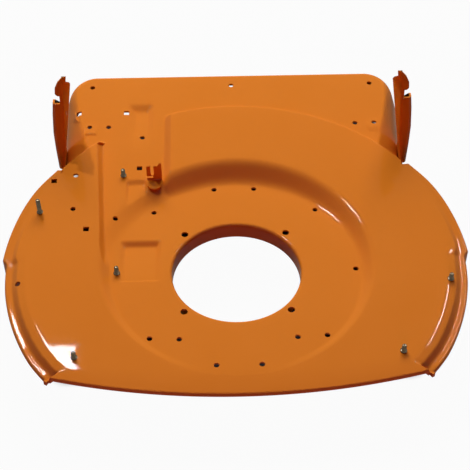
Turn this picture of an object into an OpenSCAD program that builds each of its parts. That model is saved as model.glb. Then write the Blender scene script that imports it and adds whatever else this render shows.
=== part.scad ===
// Walk-behind mower deck: one pressed steel shell with two handle brackets,
// a fork-shaped cable bracket and six welded studs.
// The origin is the centre of the large hole, on the platform's top face.
// X points right, Y to the rear and Z up.

/* [Sheet] */
// Thickness of the pressed sheet
sheet = 2.5; // [1.5:0.1:3]
// Rise of the annulus and of the box top, per mm towards the rear
slope = 0.0629; // [0.02:0.001:0.09]
// Height of the annulus at the hole's centre line
annulus_z = 9.5; // [7:0.1:12]
// Depth of the corridor and the box top below the annulus
corridor_depth = 8.5; // [6:0.1:11]

/* [Platform] */
// Radius of the large hole
hole_r = 76.5; // [70:0.5:80]
// Depth of the collar drawn down round the large hole
collar_depth = 21; // [12:0.5:26]
// Bend radius between platform and collar, on the top face
collar_bend = 4; // [3.5:0.1:6]
// Radius at which the platform starts to bend upwards
platform_r = 146.5; // [145.5:0.5:149]
// Half spacing of the four engine holes
engine_half = 61.7; // [55:0.1:64]
// Radius of the engine holes
engine_hole_r = 4.25; // [3:0.05:6]
// Distance of the circle of small holes from the platform's edge
ring_edge = 4.7; // [4.5:0.1:7]
// Half spacing of the holes beside the front and rear centre
ring_near_x = 25.2; // [15:0.1:40]
// Radius of the small holes
small_hole_r = 3.25; // [2:0.05:4]
// Half spacing of the two front holes inside the circle
front_pair_x = 66.8; // [60:0.1:75]
// Distance of the two front holes ahead of the centre
front_pair_y = 102; // [95:0.5:105]

/* [Outline] */
// Radius of the blade chamber behind the tips
chamber_r = 279; // [277:0.5:281]
// Radius of the sides just ahead of the tips
side_r = 274; // [272:0.5:275]
// Distance of the front edge ahead of the centre
front_y = 177.4; // [175:0.2:180]
// Radius of the front edge, seen from above
front_r = 866; // [700:10:1200]
// Depth of the lip along the front edge
front_lip = 9; // [7:0.5:12]
// Half width of the rear box
box_half_w = 221; // [219:0.5:223]
// Distance of the rear edge behind the centre
box_rear_y = 345.3; // [338:0.1:348]
// Corner radius of the rear box
box_corner_r = 38; // [32:1:42]
// Radius of the shoulders along the sides of the box
shoulder_r = 30; // [26:1:32]
// Radius of the edge along the rear of the box
rear_bend = 6; // [5:0.5:12]
// Depth of the lip below the rear edge
rear_lip = 18; // [14:1:24]
// Level of the lower edge of the side skirts
skirt_z = -75; // [-80:1:-60]

/* [Corridor] */
// Distance of the right wall's top edge from the centre line
right_top_x = 80; // [76:0.5:84]
// Width of the right wall, seen from above
right_wall_w = 9.5; // [8:0.5:12]
// Radius at which the corridor floor reaches its full height
ramp_end_r = 180; // [176:1:190]

/* [Rims] */
// Radius of the crease inside the side rims
crease_r = 250; // [246:0.5:252]
// Depth of the side rims at the front corners
rim_depth = 11; // [8:0.5:13]

/* [Studs] */
// Distance of the tall stud from the chamber's edge
tall_stud_edge = 23.36; // [16:0.01:30]
// Distance of the right rim's stud from the side's edge
rim_stud_edge = 22.65; // [18:0.01:26]
// Distance of the two front studs from the side's edge
front_stud_edge = 51.82; // [44:0.01:70]
// Radius of the studs
stud_r = 3; // [2:0.1:3.5]
// Radius of the studs' bases
stud_base_r = 4.4; // [4:0.1:6]
// Height of the studs' bases
stud_base_h = 1.6; // [1:0.1:3]
// Height of the small studs
stud_h = 12.5; // [8:0.5:18]
// Height of the tall stud on the left crescent
tall_stud_h = 22; // [16:0.5:28]

/* [Handle brackets] */
// Thickness of the brackets' plate
plate = 2.5; // [2:0.1:3]
// Distance of the brackets' front face behind the ends of the crescents
bracket_gap = 34.7; // [30:0.1:40]
// Depth of the brackets' side plate
bracket_depth = 40; // [25:1:48]
// Height of the brackets' top above the platform
bracket_top = 136; // [120:1:140]
// Inward lean of the brackets, in degrees
bracket_lean = 8.6; // [6:0.1:9]
// Height at which the brackets start to lean
bracket_bend_z = -11; // [-12:0.5:-8]
// Level of the brackets' lower edge
bracket_foot_z = -48; // [-60:1:-40]
// Lower edge of the notch
notch_z = 94.5; // [90:0.5:98]
// Height of the notch
notch_h = 12.5; // [10:0.5:14]

/* [Cable bracket] */
// Width of the cable bracket
fork_w = 19; // [16:0.5:22]
// Height of the cable bracket
fork_h = 31; // [24:0.5:36]
// Length of the cable bracket's foot
fork_foot = 19; // [15:0.5:24]
// Distance of the cable bracket from the centre line
fork_x = 100; // [98:0.5:102]
// Distance of its upright plate behind the centre
fork_y = 150; // [149:0.5:151]

/* [Hidden] */
orange = [0.84, 0.47, 0.17];
zinc = [0.7, 0.7, 0.68];
eps = 0.01;
tilt = atan(slope);
box_z = annulus_z - corridor_depth;

// Heights of the two sloping planes
function annulus(y) = annulus_z + slope * y;
function box_top(y) = box_z + slope * y;

// Radius of the circle on which the small holes stand
ring_r = platform_r - ring_edge;
// Radius at which the outer spokes are laid out
spoke_r = 277;

// Walls of the corridor: distance from the centre line, against the radius
left_foot = [[160, 155.4], [172.5, 159], [200, 162.7], [236, 165.9], [spoke_r, 169]];
left_top = [[168, 164.7], [175, 165.6], [200, 169], [235, 173], [spoke_r, 176.5]];
left_foot_in = [[150, 168], [160, 166.2]];
left_top_in = [[150, 178], [158, 176.5], [168, 168.6]];
function wall_angle(r, walls) = acos(-lookup(r, walls) / r);
function left_foot_angle(r) =
  r < 160 ? lookup(r, left_foot_in) : wall_angle(min(r, spoke_r), left_foot);
function left_top_angle(r) =
  r < 168 ? lookup(r, left_top_in) : wall_angle(min(r, spoke_r), left_top);
function right_angle(r, x) = acos(-x / min(max(r, 165), spoke_r));

// Directions of the main points round the outline
front_corner = -34.5;
tip_front = 2.8;
tip_rear = 4.4;
crescent_end_r = chamber_r - 3;
crescent_end = acos(box_half_w / crescent_end_r);
corner_start = atan2(box_rear_y - box_corner_r, box_half_w);
corner_end = atan2(box_rear_y, box_half_w - box_corner_r);
// The left side's directions bunch up inside the corridor's wall
inner_left = [[150, 181], [168, 172], [spoke_r, 180 - crescent_end]];
inner_tip_rear = [[150, 187], [200, 180 - tip_rear]];
inner_tip_front = [[150, 189], [200, 180 - tip_front]];

// Spokes of the shell: main directions at a radius, with the share that lies low
function spoke_marks(r) = [
  [front_corner, 0],
  [tip_front, 0],
  [tip_rear, 0],
  [crescent_end, 0],
  [corner_start, 0],
  [corner_end, 0],
  [90, 0],
  [right_angle(r, right_top_x), 0],
  [right_angle(r, right_top_x + 0.25 * right_wall_w), 0.14],
  [right_angle(r, right_top_x + 0.75 * right_wall_w), 0.86],
  [right_angle(r, right_top_x + right_wall_w), 1],
  [left_foot_angle(r), 1],
  [0.78 * left_foot_angle(r) + 0.22 * left_top_angle(r), 0.88],
  [0.22 * left_foot_angle(r) + 0.78 * left_top_angle(r), 0.12],
  [left_top_angle(r), 0],
  [lookup(r, inner_left), 0],
  [lookup(r, inner_tip_rear), 0],
  [lookup(r, inner_tip_front), 0],
  [180 - front_corner, 0],
  [182.5 - front_corner, 0],
  [357.5 + front_corner, 0],
  [360 + front_corner, 0]
];
spoke_steps = [8, 1, 8, 5, 4, 5, 3, 1, 1, 1, 10, 1, 1, 1, 3, 8, 1, 8, 1, 17, 1];
spokes = [
  for (m = [0 : len(spoke_steps) - 1])
    for (i = [0 : spoke_steps[m] - 1])
      [m, i / spoke_steps[m]]
];
function spoke_angle(s, r) =
  let (marks = spoke_marks(r))
  marks[s[0]][0] + (marks[s[0] + 1][0] - marks[s[0]][0]) * s[1];
function spoke_low(s, r) =
  let (marks = spoke_marks(r))
  marks[s[0]][1] + (marks[s[0] + 1][1] - marks[s[0]][1]) * s[1];

// Outline radii by direction; side directions are folded onto the right half
function folded(a) = abs(a - 90) > 180 ? 90 - abs(abs(a - 90) - 360) : 90 - abs(a - 90);
side_radii = [
  [-40, side_r - 14.5],
  [front_corner, side_r - 12.5],
  [-28, side_r - 8.7],
  [-20, side_r - 6],
  [-12, side_r - 3.2],
  [-5, side_r - 1.2],
  [tip_front, side_r],
  [tip_rear, chamber_r + 0.5],
  [22, chamber_r],
  [29, chamber_r - 1],
  [34, chamber_r - 2.7],
  [crescent_end, crescent_end_r]
];
function front_edge(a) =
  let (c = front_r - front_y, s = sin(a))
  s * c + sqrt(s * s * c * c - c * c + front_r * front_r);
function box_edge(a, inset) =
  let (
    x = box_half_w - inset,
    y = box_rear_y - inset,
    k = max(box_corner_r - inset, 1),
    cx = x - k,
    cy = y - k,
    along = cx * cos(a) + cy * sin(a),
    off = cx * sin(a) - cy * cos(a)
  )
  a < atan2(cy, x) ? x / cos(a) :
  a > atan2(y, cx) ? y / sin(a) : along + sqrt(k * k - off * off);
function outline(a) =
  a < -30 ? min(front_edge(a), lookup(a, side_radii)) :
  a < crescent_end ? lookup(a, side_radii) : box_edge(a, 0);

// Rim along the sides: radius of its wall's top, and its depth
rim_wall = [
  [-40, side_r - 20],
  [-23, side_r - 18.5],
  [1.5, side_r - 11],
  [12, chamber_r - 13.5],
  [26, chamber_r - 12]
];
rim_depths = [[-40, rim_depth], [-23, rim_depth - 1], [1.5, rim_depth - 4], [12, 4], [26, 0]];
rim_wall_w = 4.5;
function rim_drop(a) = a < front_corner - 1 ? 0 : lookup(a, rim_depths);

// Ring wall between platform and annulus: share of its width and height
wall_shares = [[0, 0], [0.15, 0.03], [0.27, 0.14], [0.76, 0.86], [0.88, 0.97], [1, 1]];
wall_run = 1.13;
wall_round = 3;
function wall_top_r(a) =
  (platform_r + 4.5 + wall_round + wall_run * annulus_z) / (1 - wall_run * slope * sin(a));

// Shoulder rings: angles round the bend
bend_angles = [0, 27, 50, 71, 90];
edge_bend = 3;
function bend_radius(a) = lookup(a, [[corner_start - 4, shoulder_r], [corner_end, rear_bend]]);
function bend_drop(x, y, a) =
  let (r = bend_radius(a), inset = inset_at(abs(x), y))
  inset >= r ? 0 : r - sqrt(max(r * r - (r - inset) * (r - inset), 0));
function inset_at(x, y) =
  let (cx = box_half_w - box_corner_r, cy = box_rear_y - box_corner_r)
  x > cx && y > cy ? box_corner_r - norm([x - cx, y - cy]) : min(box_half_w - x, box_rear_y - y);

// Lower edge of the outline all round
function smooth(t) = let (u = min(max(t, 0), 1)) u * u * (3 - 2 * u);
skirt_run = 62;
function lower_edge(a, r) =
  let (
    y = r * sin(a),
    rim_z = annulus(y) - rim_drop(a) - edge_bend - 2.2,
    rise = smooth((a - corner_start + 3) / (corner_end - corner_start + 5))
  )
  a < front_corner ? annulus(y) - front_lip :
  a < crescent_end ? rim_z + (skirt_z - rim_z) * smooth(y / skirt_run + 1) :
  skirt_z + (box_top(y) - rear_lip - skirt_z) * rise;

// Profile of the top face along one spoke
function level(a, low, r) = annulus(r * sin(a)) - corridor_depth * low;
function inner_rings(s) = [
  for (r = [105, platform_r - 1.5])
    let (a = spoke_angle(s, r))
    [a, r, 0]
];
function wall_rings(s) = [
  for (w = wall_shares)
    let (
      low = spoke_low(s, ramp_end_r),
      a0 = spoke_angle(s, 160),
      top_r = (wall_top_r(a0) + 1) * (1 - low) + ramp_end_r * low,
      r = platform_r + (top_r - platform_r) * w[0],
      a = spoke_angle(s, r)
    )
    [a, r, level(a, spoke_low(s, r), top_r) * w[1]]
];
function plain_ring(s, nominal, share, drop) =
  let (
    near = wall_top_r(spoke_angle(s, 160)) + 2,
    far = outline(folded(spoke_angle(s, spoke_r))) - 2 * edge_bend,
    r = min(nominal, near + (far - near) * share),
    a = spoke_angle(s, r)
  )
  [a, r, level(a, spoke_low(s, r), r) - drop];
function outer_rings(s) =
  let (
    a = spoke_angle(s, spoke_r),
    f = folded(a),
    rear = f >= crescent_end,
    edge = rear ? min(chamber_r - 5, outline(f) - 6) : outline(f),
    drop = rear ? 0 : rim_drop(f),
    wall = rear ? 260 : lookup(f, rim_wall),
    low = spoke_low(s, spoke_r),
    limit = outline(f),
    across = square_to_wall(f),
    foot_r = min(edge + 7, limit - 2.4),
    foot_z = rear ? box_top(foot_r * sin(a)) - bend_drop(foot_r * cos(f), foot_r * sin(f), f)
      : level(a, low, edge) - drop - edge_bend,
    low_z = lower_edge(f, limit),
    soft_r = edge - 0.3 * edge_bend,
    bends = len(bend_angles)
  ) concat(
    [
      plain_ring(s, 205, 0.4, 0),
      plain_ring(s, 229, 0.65, 0),
      plain_ring(s, crease_r, 0.87, 0),
      plain_ring(s, wall, 0.95, 0.15 * drop),
      plain_ring(s, wall + rim_wall_w, 1, drop),
      [a, edge - edge_bend, level(a, low, edge - edge_bend) - drop],
      [a, soft_r, level(a, low, soft_r) - drop - (rear ? 0.5 * (1 - low) : 0.3 * edge_bend)],
      [a, rear ? foot_r : edge, foot_z, 1, !rear]
    ],
    [
      for (i = [0 : bends - 1])
        let (
          last = i == bends - 1,
          inset = bend_radius(f) * (1 - sin(bend_angles[i])),
          least_r = foot_r + (i + 1) * (limit - foot_r) / bends,
          r = last ? limit : rear ? max(min(box_edge(f, inset), limit), least_r) : edge,
          z = rear ? box_top(r * sin(a)) - bend_drop(r * cos(f), r * sin(f), f)
            : foot_z + (low_z - foot_z) * (i + 1) / (bends + 1)
        )
        [a, r, z, across, last || !rear]
    ],
    [[a, limit, low_z, across, true]]
  );
function profile(s) = concat(inner_rings(s), wall_rings(s), outer_rings(s));

// The sheet's lower face: the profile moved square to itself, or inwards where it stands upright
function square_to_wall(f) =
  let (
    a = [cos(f - 0.5), sin(f - 0.5)] * outline(f - 0.5),
    b = [cos(f + 0.5), sin(f + 0.5)] * outline(f + 0.5),
    d = (b - a) / norm(b - a)
  )
  1 / max(abs(d[1] * cos(f) - d[0] * sin(f)), 0.55);
function lowered(points) = [
  for (i = [0 : len(points) - 1])
    let (
      p = points[max(i - 1, 0)],
      q = points[min(i + 1, len(points) - 1)],
      d = [q[1] - p[1], q[2] - p[2]] / norm([q[1] - p[1], q[2] - p[2]]),
      upright = len(points[i]) > 3 && points[i][4],
      n = i == 0 ? [0, -1] : upright ? [-1, 0] : [d[1], -d[0]],
      across = len(points[i]) > 3 ? points[i][3] : 1
    )
    [points[i][0], points[i][1] + n[0] * sheet * across, points[i][2] + n[1] * sheet]
];
function placed(p) = [p[1] * cos(p[0]), p[1] * sin(p[0]), p[2]];

module pressed_sheet() {
  tops = [for (s = spokes) profile(s)];
  rings = len(tops[0]);
  turns = len(tops);
  loop = 2 * rings;
  points = [
    for (t = tops)
      let (u = lowered(t))
      for (i = [0 : loop - 1]) placed(i < rings ? t[i] : u[loop - 1 - i])
  ];
  faces = [
    for (j = [0 : turns - 1])
      for (i = [0 : loop - 1])
        let (
          a = j * loop + i,
          b = j * loop + (i + 1) % loop,
          c = ((j + 1) % turns) * loop + (i + 1) % loop,
          d = ((j + 1) % turns) * loop + i
        )
        for (face = [[a, c, b], [a, d, c]]) face
  ];
  polyhedron(points = points, faces = faces);
}

// Platform's inner part with its collar, turned round the hole's axis
module collar() {
  join_r = 118;
  bend = [hole_r + collar_bend, -collar_bend];
  under = collar_bend - sheet;
  rotate_extrude($fn = 144)
    polygon(concat(
      [[hole_r, -collar_depth]],
      [for (a = [0 : 15 : 90]) bend + collar_bend * [-cos(a), sin(a)]],
      [[join_r, 0], [join_r, -sheet]],
      [for (a = [90 : -30 : 0]) bend + under * [-cos(a), sin(a)]],
      [[hole_r + sheet, -collar_depth]]
    ));
}

// Pressed pocket: a level or sloping floor, with walls that lean outwards up to the
// lid, which lies just above the face that the pocket is pressed into
module pocket(front, rear, floor_x, lid_x, floor_z, lid_z, grow) {
  polyhedron(
    points = [
      [floor_x[0] - grow, front - grow, floor_z[0] - grow],
      [floor_x[1] + grow, front - grow, floor_z[0] - grow],
      [floor_x[1] + grow, rear[0] + grow, floor_z[1] - grow],
      [floor_x[0] - grow, rear[0] + grow, floor_z[1] - grow],
      [lid_x[0] - grow, front - grow, lid_z],
      [lid_x[1] + grow, front - grow, lid_z],
      [lid_x[1] + grow, rear[1] + grow, lid_z],
      [lid_x[0] - grow, rear[1] + grow, lid_z]
    ],
    faces = [[0, 1, 2, 3], [4, 7, 6, 5], [0, 4, 5, 1], [1, 5, 6, 2], [2, 6, 7, 3], [3, 7, 4, 0]]
  );
}
module rear_pocket(grow) {
  pocket(
    front = 205,
    rear = [276, 288.5],
    floor_x = [-126, -112.5],
    lid_x = [-139, -104],
    floor_z = [14, 14],
    lid_z = 20.2,
    grow = grow
  );
}
module middle_pocket(grow) {
  pocket(
    front = 91,
    rear = [143.5, 149],
    floor_x = [-131, -114.5],
    lid_x = [-136.5, -109],
    floor_z = [6.9, 6.9],
    lid_z = 11,
    grow = grow
  );
}
module front_pocket(lid_z, grow) {
  pocket(
    front = -14,
    rear = [45, 55],
    floor_x = [-133, -101],
    lid_x = [-140, -91],
    floor_z = [0.1, -4.7],
    lid_z = lid_z,
    grow = grow
  );
}

// Level pads that stand out of the sloping box top: corner, size and height of the seat
pad_seats = [
  [[26 - box_half_w, 232.5], [16, 21.5], box_top(254)],
  [[box_half_w - 41.5, 232.5], [16, 21.5], box_top(254)],
  [[12 - box_half_w, 264.5], [16, 18], 15.8]
];
pad_depth = 2.4;
module pads() {
  for (p = pad_seats)
    translate([p[0][0], p[0][1], p[2] - pad_depth])
      cube([p[1][0], p[1][1], pad_depth]);
}

// Holes through the sheet; the cutters run from below the platform to above the box top
cut_from = -12;
cut_h = 50;
square_w = 7;
module round_holes(points, r) {
  for (p = points)
    translate([p[0], p[1], cut_from])
      cylinder(h = cut_h, r = r, $fn = 48);
}
module square_holes(points, w) {
  for (p = points)
    translate([p[0] - w / 2, p[1] - w / 2, cut_from])
      cube([w, w, cut_h]);
}
ring_diagonal = ring_r * cos(45);
ring_near_y = sqrt(ring_r * ring_r - ring_near_x * ring_near_x);
engine_holes = [for (x = [-1, 1]) for (y = [-1, 1]) [x, y] * engine_half];
ring_holes = [for (x = [-1, 1]) for (y = [-1, 1]) [x, y] * ring_diagonal];
near_holes = [for (x = [-1, 1]) for (y = [-1, 1]) [x * ring_near_x, y * ring_near_y]];
front_pair = [for (x = [-1, 1]) [x * front_pair_x, -front_pair_y]];
rear_row = [for (x = [32.4 - box_half_w, 0.3, box_half_w - 31.8]) [x, box_rear_y - 22.7]];
side_rows = [for (side = [-1, 1]) for (inset = [33, 58]) [side * (box_half_w - inset), 245.5]];
crescent_holes = [[-199.2, 150.6], [-198.9, 94.1], [-255.9, -19.7], [-147.3, 86], [-118, 226]];
square_points = [[-140.5, 272], [-120, 169.7], [17 - box_half_w, 272.7], [-226, 141.8], [-181, 61.2]];

module deck_shell() {
  color(orange) difference() {
    union() {
      pressed_sheet();
      collar();
      pads();
      intersection() {
        union() {
          rear_pocket(sheet);
          middle_pocket(sheet);
        }
        below_box();
      }
      front_pocket(-eps, sheet);
    }
    rear_pocket(0);
    middle_pocket(0);
    front_pocket(0.5, 0);
    round_holes(engine_holes, engine_hole_r);
    round_holes(concat(ring_holes, near_holes, front_pair, [[ring_r, 0]]), small_hole_r);
    round_holes(concat(rear_row, side_rows, crescent_holes), small_hole_r);
    square_holes(square_points, square_w);
  }
}

// Everything that lies under the box top's upper face
module below_box() {
  deep = 40;
  translate([-200, 0, box_z])
    rotate([tilt, 0, 0])
      translate([0, 0, -deep - eps])
        cube([200, 330, deep]);
}

// Handle bracket on the right: a side plate against the box's side wall, a front
// flange with a notch open to the outside, and a narrow return flange behind it
bracket_y = crescent_end_r * sin(crescent_end) + bracket_gap;
flange_foot_z = bracket_bend_z - 4;
return_depth = 10;
// Outer edges, from the box's side wall: below the notch by level, above it by height
return_reach = [[7, flange_foot_z], [7.9, 18], [7.9, 45], [5.6, 75], [3.2, notch_z]];
return_edge = [for (p = return_reach) [box_half_w + p[0], p[1]]];
head_reach = [[-4.5, 0], [-1.6, 4], [-2.4, 12], [-6.5, 21]];
groove_reach = [[-12.5, -1], [-14.5, -4], [-16, 0]];
function bracket_x(z) = box_half_w - max(z - bracket_bend_z, 0) * tan(bracket_lean);

module upright(depth) {
  translate([0, bracket_y + depth, 0])
    rotate([90, 0, 0])
      linear_extrude(depth) children();
}
module side_plate() {
  heights = [bracket_foot_z, bracket_bend_z, bracket_top];
  difference() {
    upright(bracket_depth)
      polygon(concat(
        [for (z = heights) [bracket_x(z), z]],
        [for (i = [2 : -1 : 0]) [bracket_x(heights[i]) + plate, heights[i]]]
      ));
    translate([0, bracket_y, 0])
      rotate([0, 90, 0])
        linear_extrude(300)
          polygon([
            [-bracket_top - 1, plate],
            [-bracket_top, plate],
            [-notch_z, bracket_depth + 1],
            [-bracket_top - 1, bracket_depth + 1]
          ]);
  }
}
module front_flange() {
  notch_top = notch_z + notch_h;
  upright(plate)
    polygon(concat(
      [[bracket_x(flange_foot_z), flange_foot_z]],
      return_edge,
      [[bracket_x(notch_z) + 8, notch_z], [bracket_x(notch_top) + 7, notch_top]],
      [for (p = head_reach) [box_half_w + p[0], notch_top + p[1]]],
      [for (p = groove_reach) [box_half_w + p[0], bracket_top + p[1]]],
      [[bracket_x(bracket_top), bracket_top]]
    ));
}
module return_flange() {
  upright(return_depth)
    polygon(concat(
      return_edge,
      [for (i = [len(return_edge) - 1 : -1 : 0]) return_edge[i] - [plate, 0]]
    ));
}
module right_bracket() {
  color(orange) union() {
    side_plate();
    front_flange();
    return_flange();
  }
}
module left_bracket() {
  mirror([1, 0, 0]) right_bracket();
}

// Cable bracket: a rounded foot on the corridor floor and an upright fork
fork_gap = 4;
fork_gap_x = -4.5;
fork_gap_z = 11;
fork_spike_w = 4;
fork_spike_h = 5;
fork_slot = [9, 3];
fork_slot_z = 5;
module fork_foot_plate() {
  round_y = fork_w / 2 - fork_foot;
  linear_extrude(plate) union() {
    translate([-fork_w / 2, round_y]) square([fork_w, -round_y]);
    translate([0, round_y]) circle(r = fork_w / 2, $fn = 48);
  }
}
module fork_cuts() {
  deep = 4 * plate;
  translate([fork_gap_x, -deep / 2, fork_gap_z])
    cube([fork_gap, deep, fork_h]);
  translate([fork_gap_x + fork_gap / 2, -deep / 2, fork_gap_z])
    rotate([-90, 0, 0])
      cylinder(h = deep, r = fork_gap / 2, $fn = 32);
  translate([-fork_w / 2 - 1, -deep / 2, fork_h - fork_spike_h])
    cube([fork_w - fork_spike_w + 1, deep, fork_h]);
  translate([-fork_w / 2 - 1, -deep / 2, fork_slot_z])
    cube([fork_slot[0], deep, fork_slot[1]]);
}
module cable_bracket() {
  color(orange)
    translate([-fork_x, fork_y, box_top(fork_y)])
      rotate([tilt, 0, 0])
        difference() {
          union() {
            fork_foot_plate();
            translate([-fork_w / 2, -plate, 0]) cube([fork_w, plate, fork_h]);
          }
          fork_cuts();
        }
}

// Welded stud with a round base, square to the face on which it stands
module stud(x, y, z, turn, h) {
  color(zinc)
    translate([x, y, z])
      rotate([turn, 0, 0])
        union() {
          cylinder(h = stud_base_h, r = stud_base_r, $fn = 48);
          cylinder(h = h, r = stud_r, $fn = 48);
        }
}
// Stud on the annulus, at a radius and a direction
module annulus_stud(r, a, h) {
  stud(r * cos(a), r * sin(a), annulus(r * sin(a)), tilt, h);
}
front_stud_a = -34.55;
module stud_left_crescent() { annulus_stud(chamber_r - tall_stud_edge, 159.34, tall_stud_h); }
module stud_corridor() { stud(-140, 157.6, box_top(157.6), tilt, stud_h); }
module stud_platform() { stud(-ring_r, 0, 0, 0, stud_h); }
module stud_front_left() { annulus_stud(side_r - front_stud_edge, 180 - front_stud_a, stud_h); }
module stud_front_right() { annulus_stud(side_r - front_stud_edge, front_stud_a, stud_h); }
module stud_right_rim() { annulus_stud(side_r - rim_stud_edge, -5.94, stud_h - 2); }

deck_shell();
left_bracket();
right_bracket();
cable_bracket();
stud_left_crescent();
stud_corridor();
stud_platform();
stud_front_left();
stud_front_right();
stud_right_rim();
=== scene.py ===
# %% [markdown]
# # A mower deck in pressed steel
#
# The deck is one sheet of steel, pressed, drawn and folded, with a few small
# parts welded on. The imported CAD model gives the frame: every piece here is
# built round it, in the same axes. X points right, Y to the rear, Z up, and
# the origin is the centre of the large hole on the engine platform.

# %% Load the frame
import math

import bmesh
import bpy
import numpy as np
from mathutils import Matrix, Vector


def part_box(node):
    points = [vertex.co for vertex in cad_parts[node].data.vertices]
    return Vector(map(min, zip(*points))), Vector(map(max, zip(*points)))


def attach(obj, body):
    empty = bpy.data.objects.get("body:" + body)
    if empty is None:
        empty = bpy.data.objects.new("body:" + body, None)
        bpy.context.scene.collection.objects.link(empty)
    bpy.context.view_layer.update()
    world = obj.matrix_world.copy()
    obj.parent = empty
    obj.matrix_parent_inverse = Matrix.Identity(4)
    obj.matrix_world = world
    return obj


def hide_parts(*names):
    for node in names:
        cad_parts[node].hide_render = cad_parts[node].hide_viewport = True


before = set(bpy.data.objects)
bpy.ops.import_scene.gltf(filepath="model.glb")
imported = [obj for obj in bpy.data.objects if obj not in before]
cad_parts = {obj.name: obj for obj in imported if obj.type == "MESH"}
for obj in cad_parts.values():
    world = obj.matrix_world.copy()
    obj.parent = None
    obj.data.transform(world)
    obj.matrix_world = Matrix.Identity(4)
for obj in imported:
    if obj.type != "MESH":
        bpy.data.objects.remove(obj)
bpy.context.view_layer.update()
print("nodes:", ", ".join(sorted(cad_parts)))

# %% [markdown]
# ## Camera
#
# The picture was taken from the front, a little more than arm's length away
# and from well above. A long lens keeps the round hole's ellipse gentle. The
# camera comes first, so that every later step can be looked at.

# %% Camera
camera_data = bpy.data.cameras.new("camera")
camera_data.lens = 88.64
camera_data.sensor_width = 36.0
camera_data.clip_start, camera_data.clip_end = 0.05, 30.0
camera = bpy.data.objects.new("camera", camera_data)
bpy.context.scene.collection.objects.link(camera)
right = Vector((0.99972714, -0.02290084, -0.00460458))
up = Vector((0.01968024, 0.71956355, 0.69414767))
away = Vector((0.01258328, 0.69404888, -0.7198179))
camera.matrix_world = Matrix.Translation((-0.018163, -0.922097, 1.017581)) @ Matrix((right, up, -away)).transposed().to_4x4()
bpy.context.scene.camera = camera
print("camera stands", round(camera.location.length, 2), "m from the hole")

# %% [markdown]
# ## Sizes
#
# Lengths are in millimetres, as a toolmaker would give them, and become
# metres only when a mesh is made. Sizes that the frame already holds are
# read from it, so the skin can't drift away from the solids.

# %% Driving sizes
MM = 0.001
SHEET = 2.5
SLOPE = 0.0629
ANNULUS_Z = 9.5
STEP_DOWN = 8.5
TILT = math.atan(SLOPE)

shell_low, shell_high = (np.array(v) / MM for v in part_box("deck_shell"))
CHAMBER_R = 279.0
BOX_REAR = float(shell_high[1])
FRONT = float(-shell_low[1])
SKIRT_Z = float(shell_low[2])
BOX_HALF = 221.0
BOX_CORNER = 35.0
SHOULDER = 36.0
REAR_BEND = 6.0
REAR_LIP = 18.0
FLARE = 7.5
FRONT_LIP = 6.0
FRONT_FALL = 1.2
FRONT_R = 866.0
EDGE_BEND = 3.0
HOLE_R = 76.5
COLLAR_DEPTH = 21.0
COLLAR_BEND = 4.0
PLATFORM_R = 146.5
RAMP_END = 180.0
CREASE_R = 250.0
RIM_WALL = 4.5
print("shell, mm:", np.round(shell_high - shell_low, 1))

# %% [markdown]
# ## The shell as a height over a warped net
#
# A pressing is a single surface of nearly even thickness, with soft bends.
# Booleans of solids would leave those bends hard, and sculpting would lose
# the toolmaker's straight lines. So the top face is a net of spokes and rings
# round the large hole. The spokes lean where the belt corridor's walls run,
# so the walls stay clean lines, and the rings crowd together in the bends.

# %% Small helpers
def smooth(t):
    t = np.clip(t, 0.0, 1.0)
    return t * t * (3.0 - 2.0 * t)


def bend_curve(t, low=0.26, high=0.3):
    """A pressed wall in section: a bend, a straight flank and a bend, from 0 to 1."""
    t = np.clip(t, 0.0, 1.0)
    m = 1.0 / (1.0 - (low + high) / 2.0)
    foot, flank = m * t * t / (2.0 * low), m * (t - low / 2.0)
    head = 1.0 - m * (1.0 - t) ** 2 / (2.0 * high)
    return np.where(t < low, foot, np.where(t < 1.0 - high, flank, head))


def table(x, rows):
    xs, ys = zip(*rows)
    return np.interp(x, xs, ys)


def cosd(a):
    return np.cos(np.radians(a))


def sind(a):
    return np.sin(np.radians(a))


print("a wall halfway along is", float(bend_curve(0.5)), "of its height up")

# %% [markdown]
# Seen from above, the outline is a circle at the sides, a shallow arc in
# front and a box with rounded corners behind. Each is a radius against a
# direction in degrees, and the left side is the right side folded over.

# %% Planes and outline
FRONT_CORNER = -34.5
TIP_FRONT, TIP_REAR = 2.8, 4.4
CRESCENT_END = math.degrees(math.acos(BOX_HALF / (CHAMBER_R - 3.0)))
CORNER_START = math.degrees(math.atan2(BOX_REAR - BOX_CORNER, BOX_HALF))
CORNER_END = math.degrees(math.atan2(BOX_REAR, BOX_HALF - BOX_CORNER))
SIDE_R = [
    (-40, 259.5), (FRONT_CORNER, 261.5), (-28, 265.3), (-20, 268), (-12, 270.8), (-5, 272.8), (TIP_FRONT, 274),
    (TIP_REAR, CHAMBER_R + 0.5), (22, CHAMBER_R), (29, 278), (34, 276.3), (CRESCENT_END, CHAMBER_R - 3),
]
RIM_TOP = [(-40, 256.5), (-23, 259), (1.5, 265), (12, 266.5), (26, 267)]
RIM_DROP = [(-40, 8.5), (-23, 10), (1.5, 7), (12, 4), (26, 0)]


def annulus(y):
    return ANNULUS_Z + SLOPE * y


def box_top(y):
    return annulus(y) - STEP_DOWN


def folded(a):
    """The direction on the right half that matches direction a."""
    off = np.abs(a - 90.0)
    return 90.0 - np.where(off > 180.0, 360.0 - off, off)


def front_edge(a):
    c, s = FRONT_R - FRONT, sind(a)
    return s * c + np.sqrt(s * s * c * c - c * c + FRONT_R * FRONT_R)


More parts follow.
